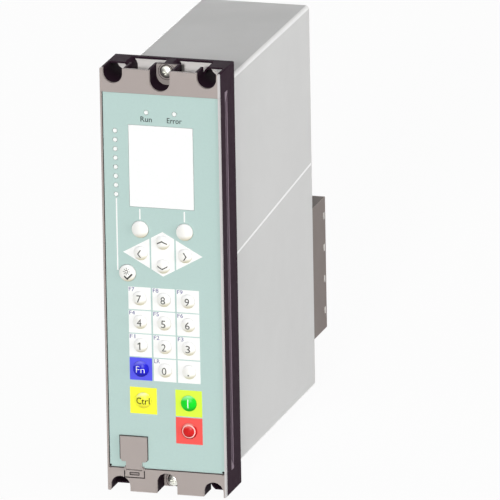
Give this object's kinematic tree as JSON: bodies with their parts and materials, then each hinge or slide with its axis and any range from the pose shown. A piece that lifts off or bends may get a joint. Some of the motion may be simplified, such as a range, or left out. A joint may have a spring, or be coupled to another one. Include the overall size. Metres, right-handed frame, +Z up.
{
  "type": "protection relay",
  "caption": "Flush-mounting protection relay: slim moulded front with display, lamps, keypad and hinged service flap, sheet-metal case and rear wiring terminals.",
  "frame": {"origin": "centre of the plane where the mounting flange seats on the panel", "axes": "+X to the right seen from the front, +Y into the panel, +Z up"},
  "size_m": [0.075, 0.2311, 0.266],
  "materials": {
    "bezel_taupe": "fine moulded grain",
    "bezel_dark": "fine moulded grain",
    "keypad_foil": "printed satin film",
    "window": "clear glossy",
    "display": "glass in a metal frame",
    "lamp_lens": "milky",
    "led": "clear",
    "flange_steel": "pale satin",
    "case_steel": "satin",
    "bracket_steel": "satin",
    "screw_steel": "zinc plated",
    "socket_steel": "nickel plated",
    "stud_brass": "plain",
    "terminal_black": "moulded",
    "circuit_board": "solder mask",
    "switch_black": "moulded",
    "relay_blue": "moulded",
    "winding": "varnished",
    "key_white": "smooth",
    "key_blue": "smooth",
    "key_yellow": "smooth",
    "key_green": "smooth",
    "key_red": "smooth"
  },
  "bodies": {
    "relay": {"front_plate": "bezel_taupe", "screw_seats": "bezel_taupe", "flap_anchor": "bezel_taupe", "front_frame": "bezel_dark", "rear_frame": "bezel_dark", "end_caps": "bezel_dark", "keypad_foil": "keypad_foil", "display_window": "window", "display_module": "display", "status_light_guide": "lamp_lens", "alarm_light_guide": "lamp_lens", "leds": "led", "mounting_flange": "flange_steel", "upper_shell": "case_steel", "lower_shell": "case_steel", "rear_panel": "case_steel", "cable_bracket": "bracket_steel", "front_screws": "screw_steel", "rear_screws": "screw_steel", "clamp_screws": "screw_steel", "flap_hinge_pin": "screw_steel", "earth_nut": "screw_steel", "service_socket": "socket_steel", "network_socket": "socket_steel", "earth_stud": "stud_brass", "board_spacers": "stud_brass", "current_terminals": "terminal_black", "signal_plugs": "terminal_black", "supply_plug": "terminal_black", "board_connector": "terminal_black", "front_board": "circuit_board", "main_board": "circuit_board", "power_board": "circuit_board", "push_switches": "switch_black", "output_relays": "relay_blue", "current_transformers": "winding", "supply_transformer": "winding"},
    "flap": {"service_flap": "bezel_taupe"},
    "key_7": {"key_7": "key_white"},
    "key_8": {"key_8": "key_white"},
    "key_9": {"key_9": "key_white"},
    "key_4": {"key_4": "key_white"},
    "key_5": {"key_5": "key_white"},
    "key_6": {"key_6": "key_white"},
    "key_1": {"key_1": "key_white"},
    "key_2": {"key_2": "key_white"},
    "key_3": {"key_3": "key_white"},
    "key_function": {"key_function": "key_blue"},
    "key_0": {"key_0": "key_white"},
    "key_point": {"key_point": "key_white"},
    "key_up": {"key_up": "key_white"},
    "key_down": {"key_down": "key_white"},
    "key_left": {"key_left": "key_white"},
    "key_right": {"key_right": "key_white"},
    "soft_key_left": {"soft_key_left": "key_white"},
    "soft_key_right": {"soft_key_right": "key_white"},
    "key_acknowledge": {"key_acknowledge": "key_white"},
    "key_control": {"key_control": "key_yellow"},
    "key_close": {"key_close": "key_green"},
    "key_open": {"key_open": "key_red"}
  },
  "joints": [
    {"name": "key_7_press", "type": "slide", "parent": "relay", "child": "key_7", "axis": [0, 1, 0], "range_m": [0, 0.0006], "stiffness_N_per_m": 500},
    {"name": "key_8_press", "type": "slide", "parent": "relay", "child": "key_8", "axis": [0, 1, 0], "range_m": [0, 0.0006], "stiffness_N_per_m": 500},
    {"name": "key_9_press", "type": "slide", "parent": "relay", "child": "key_9", "axis": [0, 1, 0], "range_m": [0, 0.0006], "stiffness_N_per_m": 500},
    {"name": "key_4_press", "type": "slide", "parent": "relay", "child": "key_4", "axis": [0, 1, 0], "range_m": [0, 0.0006], "stiffness_N_per_m": 500},
    {"name": "key_5_press", "type": "slide", "parent": "relay", "child": "key_5", "axis": [0, 1, 0], "range_m": [0, 0.0006], "stiffness_N_per_m": 500},
    {"name": "key_6_press", "type": "slide", "parent": "relay", "child": "key_6", "axis": [0, 1, 0], "range_m": [0, 0.0006], "stiffness_N_per_m": 500},
    {"name": "key_1_press", "type": "slide", "parent": "relay", "child": "key_1", "axis": [0, 1, 0], "range_m": [0, 0.0006], "stiffness_N_per_m": 500},
    {"name": "key_2_press", "type": "slide", "parent": "relay", "child": "key_2", "axis": [0, 1, 0], "range_m": [0, 0.0006], "stiffness_N_per_m": 500},
    {"name": "key_3_press", "type": "slide", "parent": "relay", "child": "key_3", "axis": [0, 1, 0], "range_m": [0, 0.0006], "stiffness_N_per_m": 500},
    {"name": "key_function_press", "type": "slide", "parent": "relay", "child": "key_function", "axis": [0, 1, 0], "range_m": [0, 0.0006], "stiffness_N_per_m": 500},
    {"name": "key_0_press", "type": "slide", "parent": "relay", "child": "key_0", "axis": [0, 1, 0], "range_m": [0, 0.0006], "stiffness_N_per_m": 500},
    {"name": "key_point_press", "type": "slide", "parent": "relay", "child": "key_point", "axis": [0, 1, 0], "range_m": [0, 0.0006], "stiffness_N_per_m": 500},
    {"name": "key_up_press", "type": "slide", "parent": "relay", "child": "key_up", "axis": [0, 1, 0], "range_m": [0, 0.0006], "stiffness_N_per_m": 500},
    {"name": "key_down_press", "type": "slide", "parent": "relay", "child": "key_down", "axis": [0, 1, 0], "range_m": [0, 0.0006], "stiffness_N_per_m": 500},
    {"name": "key_left_press", "type": "slide", "parent": "relay", "child": "key_left", "axis": [0, 1, 0], "range_m": [0, 0.0006], "stiffness_N_per_m": 500},
    {"name": "key_right_press", "type": "slide", "parent": "relay", "child": "key_right", "axis": [0, 1, 0], "range_m": [0, 0.0006], "stiffness_N_per_m": 500},
    {"name": "soft_key_left_press", "type": "slide", "parent": "relay", "child": "soft_key_left", "axis": [0, 1, 0], "range_m": [0, 0.0006], "stiffness_N_per_m": 500},
    {"name": "soft_key_right_press", "type": "slide", "parent": "relay", "child": "soft_key_right", "axis": [0, 1, 0], "range_m": [0, 0.0006], "stiffness_N_per_m": 500},
    {"name": "key_acknowledge_press", "type": "slide", "parent": "relay", "child": "key_acknowledge", "axis": [0, 1, 0], "range_m": [0, 0.0006], "stiffness_N_per_m": 500},
    {"name": "key_control_press", "type": "slide", "parent": "relay", "child": "key_control", "axis": [0, 1, 0], "range_m": [0, 0.0006], "stiffness_N_per_m": 500},
    {"name": "key_close_press", "type": "slide", "parent": "relay", "child": "key_close", "axis": [0, 1, 0], "range_m": [0, 0.0006], "stiffness_N_per_m": 500},
    {"name": "key_open_press", "type": "slide", "parent": "relay", "child": "key_open", "axis": [0, 1, 0], "range_m": [0, 0.0006], "stiffness_N_per_m": 500},
    {"name": "flap_hinge", "type": "hinge", "parent": "relay", "child": "flap", "pos_m": [-0.02045, -0.0319, -0.1182], "axis": [1, 0, 0], "range_deg": [0, 100]}
  ]
}
